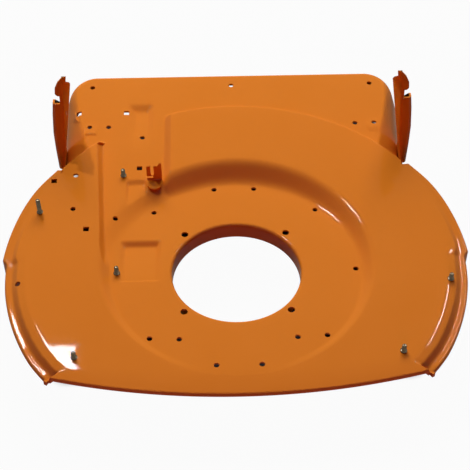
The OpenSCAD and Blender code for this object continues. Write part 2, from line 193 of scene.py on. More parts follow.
def box_edge(a, inset):
    x, y = BOX_HALF - inset, BOX_REAR - inset
    k = np.maximum(BOX_CORNER - inset, 1.0)
    cx, cy = x - k, y - k
    along, off = cx * cosd(a) + cy * sind(a), cx * sind(a) - cy * cosd(a)
    arc = along + np.sqrt(np.maximum(k * k - off * off, 0.0))
    side, rear = x / np.maximum(cosd(a), 1e-6), y / np.maximum(sind(a), 1e-6)
    start, end = np.degrees(np.arctan2(cy, x)), np.degrees(np.arctan2(y, cx))
    return np.where(a < start, side, np.where(a > end, rear, arc))


def outline(a):
    side = table(a, SIDE_R)
    front = np.minimum(front_edge(np.minimum(a, -30.0)), side)
    return np.where(a < -30.0, front, np.where(a < CRESCENT_END, side, box_edge(a, 0.0)))


def bend_radius(a):
    """Width of the box's falling edge: a cone that widens forwards along the sides."""
    along_side = BOX_HALF * np.tan(np.radians(np.clip(a, CRESCENT_END, CORNER_START)))
    cone = np.minimum(14.0 + 0.26 * (BOX_REAR - BOX_CORNER - along_side), SHOULDER)
    turn = np.clip((a - CORNER_START) / (CORNER_END - CORNER_START), 0, 1)
    return cone + (REAR_BEND - cone) * turn


STEEPNESS = [(0, 0), (0.1, 0.72), (0.5, 0.95), (0.8, 1.4), (0.95, 2.2), (1, 2.8)]
share_of_width = np.linspace(0, 1, 101)
flank = np.concatenate([[0], np.cumsum((table(share_of_width, STEEPNESS)[1:] + table(share_of_width, STEEPNESS)[:-1]) / 200)])


def bend_drop(x, y, a):
    """Fall of the box's edges below its flat top: a flank at the sides, a round bend behind."""
    r = bend_radius(a)
    cx, cy = BOX_HALF - BOX_CORNER, BOX_REAR - BOX_CORNER
    x = np.abs(x)
    corner = BOX_CORNER - np.hypot(x - cx, y - cy)
    inset = np.where((x > cx) & (y > cy), corner, np.minimum(BOX_HALF - x, BOX_REAR - y))
    u = 1.0 - np.clip(inset / r, 0.0, 1.0)
    turn = np.clip((a - CORNER_START) / (CORNER_END - CORNER_START), 0, 1)
    return r * (turn * (1 - np.sqrt(1 - u * u)) + (1 - turn) * np.interp(u, share_of_width, flank))


def rim_drop(a):
    return np.where(a < FRONT_CORNER - 1.0, 0.0, table(a, RIM_DROP))


def lower_edge(a, r):
    y = r * sind(a)
    rim = annulus(y) - rim_drop(a) - EDGE_BEND - 2.2
    side = rim + (SKIRT_Z - rim) * smooth(y / 62.0 + 1.0)
    turn = smooth((a - CORNER_START + 3.0) / (CORNER_END - CORNER_START + 5.0))
    rear = SKIRT_Z + (box_top(y) - REAR_LIP - SKIRT_Z) * turn
    return np.where(a < FRONT_CORNER, annulus(y) - FRONT_LIP, np.where(a < CRESCENT_END, side, rear))


def ring_wall_top(a):
    return (PLATFORM_R + 7.5 + 1.13 * ANNULUS_Z) / (1.0 - 1.13 * SLOPE * sind(a))


print(f"crescents end at {CRESCENT_END:.1f} degrees, the box's corner runs from {CORNER_START:.1f} to {CORNER_END:.1f}")

# %% [markdown]
# Each mark below is a main direction, such as a tip, a corner or a wall of
# the corridor. A mark's direction may change with the radius, which is what
# bends the net, and the share beside it says whether it lies on the high
# annulus (0) or on the corridor's floor (1). The steps say how many spokes
# stand between one mark and the next.

# %% Spokes
LEFT_FOOT = [(160, 155.4), (172.5, 159), (200, 162.7), (236, 165.9), (277, 169)]
LEFT_TOP = [(168, 164.7), (175, 165.6), (200, 169), (235, 173), (277, 176.5)]
RIGHT_TOP_X, RIGHT_FOOT_X = 78.5, 91.0


def wall_angle(r, rows):
    return np.degrees(np.arccos(-table(r, rows) / r))


def left_foot(r):
    near = table(r, [(150, 168), (160, 166.2)])
    return np.where(r < 160, near, wall_angle(np.clip(r, 160, 277), LEFT_FOOT)) - 0.3


def left_top(r):
    near = table(r, [(150, 178), (158, 176.5), (168, 168.6)])
    return np.where(r < 168, near, wall_angle(np.clip(r, 168, 277), LEFT_TOP)) + 0.3


def right_wall(r, x):
    return np.degrees(np.arccos(-x / np.clip(r, 165, 277)))


# direction at a radius, share of the corridor's depth, spokes up to the next mark
MARKS = [
    (lambda r: FRONT_CORNER, 0, 38),
    (lambda r: TIP_FRONT, 0, 5),
    (lambda r: TIP_REAR, 0, 34),
    (lambda r: CRESCENT_END, 0, 34),
    (lambda r: CORNER_START, 0, 22),
    (lambda r: CORNER_END, 0, 18),
    (lambda r: 90.0, 0, 12),
    (lambda r: right_wall(r, RIGHT_TOP_X), 0, 10),
    (lambda r: right_wall(r, RIGHT_FOOT_X), 1, 48),
    (left_foot, 1, 12),
    (left_top, 0, 16),
    (lambda r: table(r, [(150, 181), (168, 172), (277, 180 - CRESCENT_END)]), 0, 34),
    (lambda r: table(r, [(150, 187), (200, 180 - TIP_REAR)]), 0, 5),
    (lambda r: table(r, [(150, 189), (200, 180 - TIP_FRONT)]), 0, 36),
    (lambda r: 180 - FRONT_CORNER, 0, 5),
    (lambda r: 182.5 - FRONT_CORNER, 0, 64),
    (lambda r: 357.5 + FRONT_CORNER, 0, 5),
    (lambda r: 360 + FRONT_CORNER, 0, 0),
]
steps = [n // 2 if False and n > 6 else n for _, _, n in MARKS]
mark_of = np.concatenate([np.full(n, i) for i, n in enumerate(steps)]).astype(int)
part_of = np.concatenate([np.arange(n) / n for n in steps if n])
SPOKES = len(mark_of)
lows = np.array([low for _, low, _ in MARKS], float)
LOW = lows[mark_of] + (lows[np.minimum(mark_of + 1, len(MARKS) - 1)] - lows[mark_of]) * bend_curve(part_of, 0.3, 0.3)


def spoke(r):
    """Direction of every spoke where it is r away from the hole's centre."""
    r = np.broadcast_to(np.asarray(r, float), (SPOKES,))
    angles = np.array([np.broadcast_to(at(r), r.shape) for at, _, _ in MARKS])
    i = np.arange(SPOKES)
    return angles[mark_of, i] * (1 - part_of) + angles[mark_of + 1, i] * part_of


print(SPOKES, "spokes,", int((LOW > 0.99).sum()), "of them on the corridor's floor")

# %% [markdown]
# Every ring crosses all spokes, so rings are named after what they follow:
# the collar, the platform, the wall round it, the annulus with its rim, and
# then either the step, top and edges of the rear box, or the upright skirt
# at the sides.

# %% Rings
rings = []


def ring(a, r, z):
    rings.append(np.stack([r * cosd(a), r * sind(a), np.broadcast_to(z, a.shape)], axis=-1))


def finer(n):
    return n


inner = spoke(105.0)
for z in np.linspace(-COLLAR_DEPTH, -COLLAR_BEND, 5):
    ring(inner, HOLE_R, z)
for t in np.linspace(0, 90, 9)[1:]:
    ring(inner, HOLE_R + COLLAR_BEND * (1 - cosd(t)), COLLAR_BEND * (sind(t) - 1))
for r in np.linspace(HOLE_R + COLLAR_BEND, PLATFORM_R, finer(24))[1:]:
    ring(spoke(r), r, 0.0)
platform_rings = len(rings)

foot_angle = spoke(160.0)
near = (ring_wall_top(foot_angle) + 1.0) * (1 - LOW) + RAMP_END * LOW
for w in np.linspace(0, 1, finer(16))[1:]:
    r = PLATFORM_R + (near - PLATFORM_R) * w
    a = spoke(r)
    ring(a, r, (annulus(near * sind(a)) - STEP_DOWN * LOW) * bend_curve(w, 0.36, 0.4))
wall_rings = len(rings)

edge_angle = spoke(277.0)
side = folded(edge_angle)
limit = outline(side)
behind = side >= CRESCENT_END - 1e-9
edge = np.where(behind, np.minimum(274.0, limit - 6.0), limit)
drop = np.where(behind, 0.0, rim_drop(side))
rim_r = np.where(behind, 260.0, table(side, RIM_TOP))
far = edge - EDGE_BEND
front_part = smooth((FRONT_CORNER + 1.0 - side) / 2.0)
stations = [near]
for nominal, share in [(CREASE_R, 0.8), (rim_r, 0.87), (rim_r + RIM_WALL - 0.5, 0.96)]:
    stations.append(np.minimum(nominal, near + (far - near) * share))
stations.append(far)
for start, end, n in zip(stations, stations[1:], (finer(28), 3, 8, 3)):
    for t in np.linspace(0, 1, n + 1)[1:]:
        r = start + (end - start) * t
        a = spoke(r)
        dip = np.clip((r - stations[1]) / np.maximum(stations[2] - stations[1], 0.1), 0, 1)
        step = bend_curve((r - stations[2]) / np.maximum(stations[3] - stations[2], 0.1), 0.3, 0.3)
        nose = FRONT_FALL * front_part * np.clip((r - far + 26.0) / 26.0, 0, 1) ** 2
        ring(a, r, annulus(r * sind(a)) - STEP_DOWN * LOW - drop * (0.17 * dip + 0.83 * step) - nose)
rim_rings = len(rings)

foot_r = np.minimum(edge + 7.0, limit - 2.4)
flat_z = annulus(far * sind(edge_angle)) - STEP_DOWN * LOW - drop - FRONT_FALL * front_part
low_z = lower_edge(side, limit)
upright = [(12, finer(22), 8, 5)][0]
total = sum(upright)


def skirt(i):
    """Side spokes: the edge's bend, then straight down to the lower edge."""
    bend = 6
    t = min(i, bend) / bend * 90
    r = far + EDGE_BEND * sind(t)
    z = flat_z - EDGE_BEND * (1 - cosd(t))
    down = max(i - bend, 0) / (total - bend)
    return r, z + (low_z - (flat_z - EDGE_BEND)) * down


def step_and_box(i):
    """Rear spokes: the step down to the box's top, the flat, its rounded edge, and the wall."""
    n_step, n_flat, n_bend, n_wall = upright
    bend_start = np.maximum(np.minimum(box_edge(side, bend_radius(side)), limit), foot_r + 0.3 * (limit - foot_r))
    if i <= n_step:
        t = i / n_step
        r = far + (foot_r - far) * t
        fall = bend_curve(t, 0.3, 0.3)
        x, y = r * cosd(edge_angle), r * sind(edge_angle)
        return r, annulus(y) - STEP_DOWN * (LOW + (1 - LOW) * fall) - bend_drop(x, y, side) * fall
    if i <= n_step + n_flat:
        t = (i - n_step) / n_flat
        r = foot_r + (bend_start - foot_r) * t
    else:
        t = min(i - n_step - n_flat, n_bend) / n_bend
        inset = bend_radius(side) * (1 - sind(90 * t))
        r = np.maximum(np.minimum(box_edge(side, inset), limit), bend_start + (limit - bend_start) * t)
        r = limit if t == 1 else r
    x, y = r * cosd(edge_angle), r * sind(edge_angle)
    z = box_top(y) - bend_drop(x, y, side)
    down = max(i - n_step - n_flat - n_bend, 0) / n_wall
    return r, z + (low_z - z) * down


for i in range(1, total + 1):
    skirt_r, skirt_z = skirt(i)
    box_r, box_z = step_and_box(i)
    ring(edge_angle, np.where(behind, box_r, skirt_r), np.where(behind, box_z, skirt_z))
top = np.array(rings)


def flare(depth):
    """How far a side wall leans out, at a depth below the box's edge."""
    return np.minimum(0.3 * np.maximum(depth, 0), FLARE)


wall_z = top[rim_rings + sum(upright[:3]) - 1, :, 2]
leaning = smooth((side - CRESCENT_END) / 5) * (1 - smooth((side - CORNER_START) / (CORNER_END - CORNER_START)))
for k in range(rim_rings + sum(upright[:3]), len(top)):
    top[k, :, 0] += np.sign(top[k, :, 0]) * leaning * flare(wall_z - top[k, :, 2])
print(len(rings), "rings:", platform_rings, "to the platform's edge,", wall_rings, "with its wall")

# %% [markdown]
# Three shallow pockets are pressed into the platform and the corridor, so
# that the belt and its pulleys run clear below, and small pads give bolts a
# level seat on the sloping top. Each is a change of height inside a
# rectangle with leaning sides, so it is pressed into the finished net.

# %% Pockets and pads
def inside(x, y, x_range, y_range, run):
    """1 inside a rectangle, 0 outside, with pressed walls: run is left, right, front, rear."""
    gap = [
        (x - x_range[0]) / run[0], (x_range[1] - x) / run[1],
        (y - y_range[0]) / run[2], (y_range[1] - y) / run[3],
    ]
    return bend_curve(np.minimum.reduce(gap), 0.22, 0.22)


PAD_Z = float(box_top(254))
PADS = [
    ((-196.5, -177.5), (231, 255.5), PAD_Z),
    ((178, 197), (231, 255.5), PAD_Z),
    ((-210.5, -191.5), (263, 284), 15.8),
]
x, y, z = top[..., 0], top[..., 1], top[..., 2]
z = z - np.maximum(z - 14.0, 0) * inside(x, y, (-139, -104), (204, 288.5), (12, 8.5, 2, 12))
z = z - np.maximum(z - 6.9, 0) * inside(x, y, (-136.5, -109), (90, 149), (3.6, 3.6, 2, 4.5))
z = z + np.interp(y, [-14, 45], [-1.2, -4.7]) * inside(x, y, (-140, -91), (-14, 53), (5.5, 5, 2.5, 8))
for x_range, y_range, level in PADS:
    z = z + np.maximum(level - z, 0) * inside(x, y, x_range, y_range, (1.2, 1.2, 1.2, 1.2))
print("deepest pocket point is", round(float((top[..., 2] - z).max()), 1), "mm down")
top[..., 2] = z

# %% [markdown]
# The lower face is the upper one moved square to itself by the sheet's
# thickness. It needs fewer rings, since nothing there catches a highlight.
# Both faces close at the collar's lip and at the skirt's lower edge.

# %% Lower face and mesh
def normals(grid):
    along = np.gradient(grid, axis=0)
    turn = np.roll(grid, -1, axis=1) - np.roll(grid, 1, axis=1)
    n = np.cross(turn, along)
    n /= np.maximum(np.linalg.norm(n, axis=2, keepdims=True), 1e-9)
    return -n


def mesh_piece(name, verts, faces, sharp=38.0):
    """A mesh object from points in millimetres, smooth except over sharp edges."""
    mesh = bpy.data.meshes.new(name)
    mesh.from_pydata((np.asarray(verts, float) * MM).tolist(), [], faces)
    mesh.update()
    mesh.shade_smooth()
    mesh.set_sharp_from_angle(angle=math.radians(sharp))
    piece = bpy.data.objects.new(name, mesh)
    bpy.context.scene.collection.objects.link(piece)
    return piece


def loop_faces(rows, cols, closed_rows=False):
    """Quads of a net whose columns close up on themselves."""
    i, j = np.meshgrid(np.arange(rows if closed_rows else rows - 1), np.arange(cols), indexing="ij")
    i2, j2 = (i + 1) % rows, (j + 1) % cols
    return np.stack([i * cols + j, i * cols + j2, i2 * cols + j2, i2 * cols + j], -1).reshape(-1, 4).tolist()


under = top - SHEET * normals(top)
keep = [k for k in range(len(top)) if k in (0, len(top) - 1) or k % 2 == 0 or wall_rings < k < rim_rings and k % 3]
closed = np.concatenate([top, under[keep][::-1]])
shell = mesh_piece("shell", closed.reshape(-1, 3), loop_faces(len(closed), SPOKES, closed_rows=True))
print("shell:", len(shell.data.polygons), "quads; box", [round(v, 4) for v in shell.dimensions])

# %% [markdown]
# Holes are punched after pressing on the real deck, and here too: one joined
# cutter with a round or square bar for each hole, and one exact boolean.

# %% Punched holes
ENGINE = 61.7
RING_R = 141.8
NEAR_X = 25.2
NEAR_Y = math.sqrt(RING_R ** 2 - NEAR_X ** 2)
DIAGONAL = RING_R * math.cos(math.radians(45))
both = (-1, 1)
round_holes = [(x * ENGINE, y * ENGINE, 4.25) for x in both for y in both]
round_holes += [(x * DIAGONAL, y * DIAGONAL, 3.25) for x in both for y in both]
round_holes += [(x * NEAR_X, y * NEAR_Y, 3.25) for x in both for y in both]
round_holes += [(x * 66.8, -102, 3.25) for x in both] + [(RING_R, 0, 3.25)]
round_holes += [(x, 322.6, 3.25) for x in (-188.6, 0.3, 189.2)]
round_holes += [(x, 245.5, 3.25) for x in (-188, -163, 163, 188)]
round_holes += [(x, y, 3.25) for x, y in ((-199.2, 150.6), (-198.9, 94.1), (-255.9, -19.7), (-147.3, 86), (-118, 226))]
square_holes = [(-140.5, 272), (-120, 169.7), (-204, 272.7), (-226, 141.8), (-181, 61.2)]


def bar(x, y, corners, r, turn, low=-12.0, high=38.0):
    """An upright bar with that many corners, as points and faces."""
    a = np.radians(turn + np.arange(corners) * 360 / corners)
    ring_points = np.stack([x + r * np.cos(a), y + r * np.sin(a)], -1)
    points = [(*p, h) for h in (low, high) for p in ring_points]
    walls = [[i, (i + 1) % corners, corners + (i + 1) % corners, corners + i] for i in range(corners)]
    return points, walls + [list(range(corners))[::-1], list(range(corners, 2 * corners))]


def joined(parts):
    """Several (points, faces) pairs as one."""
    points, faces = [], []
    for p, f in parts:
        faces += [[i + len(points) for i in face] for face in f]
        points += list(p)
    return points, faces


def cut(piece, cutter, sharp=38.0):
    """Takes the cutter out of the piece with an exact boolean, and removes the cutter."""
    boolean = piece.modifiers.new("cut", "BOOLEAN")
    boolean.operation, boolean.solver, boolean.object = "DIFFERENCE", "EXACT", cutter
    graph = bpy.context.evaluated_depsgraph_get()
    mesh = bpy.data.meshes.new_from_object(piece.evaluated_get(graph))
    piece.modifiers.clear()
    old, piece.data = piece.data, mesh
    bpy.data.meshes.remove(old)
    bpy.data.objects.remove(cutter)
    mesh.shade_smooth()
    mesh.set_sharp_from_angle(angle=math.radians(sharp))
    return piece


bars = [bar(x, y, 40, r, 0) for x, y, r in round_holes]
bars += [bar(x, y, 4, 3.5 * math.sqrt(2), 45) for x, y in square_holes]
before = len(shell.data.polygons)
cut(shell, mesh_piece("punches", *joined(bars)))
print(len(bars), "holes,", before, "->", len(shell.data.polygons), "faces")

# %% [markdown]
# ## Handle brackets
#
# Each bracket is a folded channel that stands against the side of the rear
# box and carries the handle. Seen from above, its section is a side plate, a
# bend, a front flange, a second bend and a short return. The section changes
# as it goes up, so it is lofted from sections instead of being extruded.

# %% Section of the channel
LEAN = math.tan(math.radians(8.6))
BRACKET_Y, BRACKET_DEPTH = float(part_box("right_bracket")[0][1]) / MM, 40.0
BEND_Z, FLANGE_FOOT, NOTCH_Z, NOTCH_TOP, BRACKET_TOP = -11.0, -15.0, 94.5, 107.0, 136.0
BRACKET_FOOT = -48.0
OUTER = [(-15, 228), (18, 228.9), (45, 228.9), (75, 226.6), (94.5, 224.2)]
HEAD = [(107, 216.5), (109, 218.6), (111, 219.4), (119, 218.6), (128, 214.5), (135, 208.5), (136, 207.8)]


LEAF = [(30, 0.0), (60, 2.2), (94, 5.0), (107, 6.5), (136, 7.5)]


def inner_x(z):
    return BOX_HALF - max(z - BEND_Z, 0) * LEAN + float(flare(-24.0 - z))


def section(z, outer_x, back, bend_in, bend_out):
    """Closed outline at height z, starting at the side plate's rear end."""
    leaf, y0, t = float(table(z, LEAF)), BRACKET_Y, SHEET
    x0 = inner_x(z) + leaf
    rear = y0 + max(BRACKET_DEPTH - max(z - NOTCH_Z, 0) * 1.15, t)
    slant = leaf / max(rear - y0, 6.0)
    bend_in = min(bend_in, max(rear - y0 - t, 0.3))
    arc = np.linspace(0, 90, 7)
    outside = [(x0 - slant * (rear - y0) * (1 - s), rear - (rear - y0 - bend_in) * s) for s in (0, 0.33, 0.66)]
    outside += [(x0 + bend_in * (1 - cosd(a)), y0 + bend_in * (1 - sind(a))) for a in arc]
    outside += [(outer_x - bend_out * (1 - sind(a)), y0 + bend_out * (1 - cosd(a))) for a in arc]
    outside += [(outer_x, y0 + back)]
    within = [(outer_x - t, y0 + back)]
    tight = max(bend_out - t, 0.02)
    within += [(outer_x - t - tight * (1 - cosd(a)), y0 + t + tight * (1 - sind(a))) for a in arc]
    tight = max(bend_in - t, 0.02)
    within += [(x0 + t + tight * (1 - sind(a)), y0 + t + tight * (1 - cosd(a))) for a in arc]
    within += [(x0 + t - slant * (rear - y0) * (1 - s), rear - (rear - y0 - bend_in) * s) for s in (0.66, 0.33, 0)]
    return [(px, py, z) for px, py in outside + within]


sections = [section(z, inner_x(z) + SHEET, SHEET, 0.3, 0.3) for z in np.linspace(BRACKET_FOOT, FLANGE_FOOT, 5)]
sections += [section(z, table(z, OUTER), 10.0, 4.2, 4.2) for z in np.linspace(FLANGE_FOOT, NOTCH_Z, 30)]
sections += [section(z, inner_x(z) + float(table(z, LEAF)) + 4.5, SHEET, 4.2, 0.3) for z in np.linspace(NOTCH_Z, NOTCH_TOP, 5)]
sections += [section(z, table(z, HEAD), SHEET, 4.2, 0.3) for z in (107, 108, 109, 111, 115, 119, 124, 128, 132, 135, 136)]
loops = np.array(sections)
cols = loops.shape[1]
print(len(sections), "sections of", cols, "points")

# %% Both brackets
def soften(piece, width, segments=2):
    """Rounds the sharp edges of a cut plate, as the coat and the press leave them."""
    bevel = piece.modifiers.new("soften", "BEVEL")
    bevel.width, bevel.segments, bevel.limit_method, bevel.angle_limit = width * MM, segments, "ANGLE", math.radians(40)
    graph = bpy.context.evaluated_depsgraph_get()
    mesh = bpy.data.meshes.new_from_object(piece.evaluated_get(graph))
    piece.modifiers.clear()
    old, piece.data = piece.data, mesh
    bpy.data.meshes.remove(old)
    mesh.shade_smooth()
    mesh.set_sharp_from_angle(angle=math.radians(50))


def bracket(name, node, sign):
    points = (loops * (sign, 1, 1)).reshape(-1, 3)
    faces = loop_faces(len(loops), cols)
    faces += [list(range(cols))[::-1], list(range(len(points) - cols, len(points)))]
    if sign < 0:
        faces = [f[::-1] for f in faces]
    piece = mesh_piece(name, points, faces)
    soften(piece, 0.55)
    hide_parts(node)
    return piece


brackets = [bracket("bracket_left", "left_bracket", -1), bracket("bracket_right", "right_bracket", 1)]
print("bracket faces:", [len(b.data.polygons) for b in brackets])

# %% [markdown]
# ## Cable bracket
#
# The small fork is cut flat from plate and bent once, so it is drawn flat as
# well: an outline with its slots, cut into strips where the bend will be,
# then thickened, and every point carried round the bend.

# %% Fork from a flat pattern
FORK_W, FORK_H, FORK_FOOT, FORK_BEND = 19.0, 31.0, 19.0, 4.0
half = FORK_W / 2
FORK_AT = Matrix.Translation((-100 * MM, 150 * MM, float(box_top(150)) * MM)) @ Matrix.Rotation(TILT, 4, "X")
pattern = [(half * -cosd(t), half - FORK_FOOT - half * sind(t)) for t in np.linspace(180, 0, 25)]
pattern += [(-half, 5), (-1.5, 5), (-1.5, 8), (-half, 8), (-half, 24), (-half + 1.5, 26), (-4.5, 26), (-4.5, 11)]
pattern += [(-2.5 - 2 * cosd(t), 11 - 2 * sind(t)) for t in (30, 60, 90, 120, 150)]
pattern += [(-0.5, 11), (-0.5, 26), (4.5, 26), (7.0, 30.4), (8.2, 31), (half, 30), (half, half - FORK_FOOT)]


def folded_point(p):
    """Where a point of the flat pattern lies after the bend: p.y runs along the strip, p.z through it."""
    t = min(max((p.y + FORK_BEND) / (2 * FORK_BEND), 0), 1) * math.pi / 2
    y = min(p.y, -FORK_BEND) + FORK_BEND * math.sin(t)
    z = FORK_BEND * (1 - math.cos(t)) + max(p.y - FORK_BEND, 0)
    return Vector((p.x, y - p.z * math.sin(t), z + p.z * math.cos(t)))


flat = bmesh.new()
flat.faces.new([flat.verts.new((px, py, 0)) for px, py in pattern])
for cut_y in np.linspace(-FORK_BEND, FORK_BEND, 9):
    bmesh.ops.bisect_plane(flat, geom=flat.verts[:] + flat.edges[:] + flat.faces[:], plane_co=(0, cut_y, 0), plane_no=(0, 1, 0))
bmesh.ops.recalc_face_normals(flat, faces=flat.faces[:])
grown = bmesh.ops.extrude_face_region(flat, geom=flat.faces[:])["geom"]
bmesh.ops.translate(flat, verts=[v for v in grown if isinstance(v, bmesh.types.BMVert)], vec=(0, 0, SHEET))
bmesh.ops.recalc_face_normals(flat, faces=flat.faces[:])
rims = [e for e in flat.edges if len(e.link_faces) == 2 and e.calc_face_angle(0) > 1.2]
bmesh.ops.bevel(flat, geom=rims, offset=0.35, segments=2, affect="EDGES")
for v in flat.verts:
    v.co = FORK_AT @ (folded_point(v.co) * MM)
fork_mesh = bpy.data.meshes.new("fork")
flat.to_mesh(fork_mesh)
flat.free()
fork_mesh.shade_smooth()
fork_mesh.set_sharp_from_angle(angle=math.radians(38))
fork = bpy.data.objects.new("fork", fork_mesh)
bpy.context.scene.collection.objects.link(fork)
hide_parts("cable_bracket")
print("fork:", len(fork_mesh.polygons), "faces")

# %% [markdown]
# ## Weld studs
#
# A weld stud is a short threaded rod on a flanged foot, fused to the sheet.
# The thread is a real helix: one net whose radius depends on how far a point
# has gone round and up, with a lead-in at the tip.

# %% Studs
STUD_R, PITCH, THREAD = 2.7, 1.0, 0.5
STUDS = {
    "stud_left_crescent": ((-239.2, 90.2, float(annulus(90.2))), TILT, 22.0),
    "stud_corridor": ((-140, 157.6, float(box_top(157.6))), TILT, 11.0),
    "stud_platform": ((-141.8, 0, 0), 0.0, 11.0),
    "stud_front_left": ((-183, -126, float(annulus(-126))), TILT, 10.5),
    "stud_front_right": ((183, -126, float(annulus(-126))), TILT, 10.5),
    "stud_right_rim": ((250, -26, float(annulus(-26))), TILT, 9.5),
}


def stud(node, at, turn, height):
    sides = 36
    a = np.arange(sides) * 360 / sides
    rows = [(r * cosd(a), r * sind(a), np.full(sides, h)) for r, h in [(3.9, 0.02), (3.92, 0.7), (3.7, 1.05), (3.1, 1.3), (STUD_R - THREAD, 1.6)]]
    for h in np.arange(2.0, height - 0.45, PITCH / 8):
        phase = (h / PITCH - a / 360.0) % 1.0
        depth = THREAD * np.clip(1.25 * np.abs(2 * phase - 1) - 0.05, 0, 1)
        lead = min((height - 0.45 - h) / 0.8, 1.0) * min((h - 1.6) / 1.0, 1.0)
        r = STUD_R - THREAD + (THREAD - depth) * max(lead, 0)
        rows.append((r * cosd(a), r * sind(a), np.full(sides, h)))
    for r, h in [(STUD_R - THREAD - 0.1, height - 0.3), (STUD_R - THREAD - 0.6, height)]:
        rows.append((r * cosd(a), r * sind(a), np.full(sides, h)))
    net = np.stack([np.stack(row, -1) for row in rows])
    c, s = math.cos(turn), math.sin(turn)
    turned = np.stack([net[..., 0], net[..., 1] * c - net[..., 2] * s, net[..., 1] * s + net[..., 2] * c], -1)
    points = (turned + np.array(at)).reshape(-1, 3)
    faces = loop_faces(len(net), sides) + [list(range(sides))[::-1], list(range(len(points) - sides, len(points)))]
    piece = mesh_piece(node.replace("stud", "thread"), points, faces, sharp=50.0)
    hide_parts(node)
    return piece


studs = [stud(node, *spec) for node, spec in STUDS.items()]
print("stud faces:", [len(s.data.polygons) for s in studs])

# %% [markdown]
# ## Finishes
#
# A small class lets shader maths be written as Python: adding or multiplying
# two values makes the Math node for it. Any other node comes from one method
# that takes the node's type, its settings and the values of its sockets.

# %% Shader maths
class Value:
    """One number that varies over a surface, as an output socket of some node."""

    def __init__(self, sheet, socket):
        self.sheet, self.socket = sheet, socket

    def math(self, operation, *others):
        return self.sheet.node("ShaderNodeMath", {"operation": operation}, *others)

    def __add__(self, other):
        return self.math("ADD", self, other)

    def __sub__(self, other):
        return self.math("SUBTRACT", self, other)

    def __rsub__(self, other):
        return self.math("SUBTRACT", other, self)

    def __mul__(self, other):
        return self.math("MULTIPLY", self, other)

    def __pow__(self, other):
        return self.math("POWER", self, other)

    __radd__, __rmul__ = __add__, __mul__


class Finish:
    """A material on the principled shader, with its nodes made by one method."""

    def __init__(self, name, **constants):
        self.material = bpy.data.materials.new(name)
        self.material.use_nodes = True
        self.tree = self.material.node_tree
        self.shader = self.tree.nodes["Principled BSDF"]
        for socket, value in constants.items():
            self.shader.inputs[socket.replace("_", " ")].default_value = value

    def node(self, kind, settings=None, *values, **named):
        made = self.tree.nodes.new(kind)
        for key, setting in (settings or {}).items():
            setattr(made, key, setting)
        inputs = [s for s in made.inputs if s.enabled]
        for key, value in [*enumerate(values), *named.items()]:
            socket = inputs[key] if isinstance(key, int) else next(s for s in inputs if s.name == key.replace("_", " "))
            if isinstance(value, Value):
                self.tree.links.new(value.socket, socket)
            else:
                socket.default_value = value
        return Value(self, next(s for s in made.outputs if s.enabled))

    def feed(self, socket, value):
        self.tree.links.new(value.socket, self.shader.inputs[socket])


def linear(red, green, blue):
    """A colour as a screen shows it, from 0 to 255, turned into scene light."""
    return [*(((c / 255 + 0.055) / 1.055) ** 2.4 if c > 10 else c / 255 / 12.92 for c in (red, green, blue)), 1.0]


print("paint in scene light:", [round(c, 3) for c in linear(213, 120, 43)])

# %% [markdown]
# The paint is a glossy orange powder coat. It has three scales: a soft drift
# of colour over the whole deck where the coat is thinner or thicker, the fine
# orange peel that makes reflections shiver, and a grain too fine to see that
# only roughens the gloss a little.

# %% Orange powder coat
paint = Finish("orange_powder_coat", Specular_IOR_Level=0.0, Roughness=0.45, Coat_Weight=0.15, Coat_Roughness=0.03, Coat_IOR=1.45)
place = paint.node("ShaderNodeTexCoord")
place = Value(paint, place.socket.node.outputs["Object"])
drift = paint.node("ShaderNodeTexNoise", {}, Vector=place, Scale=9.0, Detail=3.0, Roughness=0.55)
peel = paint.node("ShaderNodeTexNoise", {}, Vector=place, Scale=420.0, Detail=2.0, Roughness=0.5)
grain = paint.node("ShaderNodeTexNoise", {}, Vector=place, Scale=2600.0, Detail=1.0)
body_colour = paint.node(
    "ShaderNodeMix", {"data_type": "RGBA"}, Factor=drift, A=linear(211, 118, 30), B=linear(217, 124, 38),
)
paint.feed("Base Color", body_colour)
paint.feed("Roughness", 0.4 + 0.1 * drift + 0.05 * grain)
paint.feed("Normal", paint.node("ShaderNodeBump", {}, Strength=0.08, Distance=0.0004, Height=peel * 0.8 + grain * 0.2))
print("paint nodes:", len(paint.tree.nodes))

# %% [markdown]
# The studs keep bright zinc. It is a metal, so its colour is in its
# reflections, and a fine noise roughens and bumps the drawn rod a little.

# %% Bright zinc
zinc = Finish("bright_zinc", Metallic=1.0, IOR=1.5)
spot = Value(zinc, zinc.node("ShaderNodeTexCoord").socket.node.outputs["Object"])
lines = zinc.node("ShaderNodeTexNoise", {}, Vector=spot, Scale=900.0, Detail=4.0, Roughness=0.6)
bloom = zinc.node("ShaderNodeTexNoise", {}, Vector=spot, Scale=160.0, Detail=2.0)
zinc.feed("Base Color", zinc.node("ShaderNodeMix", {"data_type": "RGBA"}, Factor=bloom, A=linear(58, 48, 36), B=linear(104, 92, 74)))
zinc.feed("Roughness", 0.2 + 0.2 * lines)
zinc.feed("Normal", zinc.node("ShaderNodeBump", {}, Strength=0.15, Distance=0.0002, Height=lines))

for piece, finish, slot in [(shell, paint, "orange_paint"), *((b, paint, "orange_paint") for b in brackets), (fork, paint, "orange_paint"), *((s, zinc, "zinc") for s in studs)]:
    piece.data.materials.clear()
    piece.data.materials.append(finish.material)
    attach(piece, "root")
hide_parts("deck_shell")
print("finished pieces:", 2 + len(brackets) + len(studs))
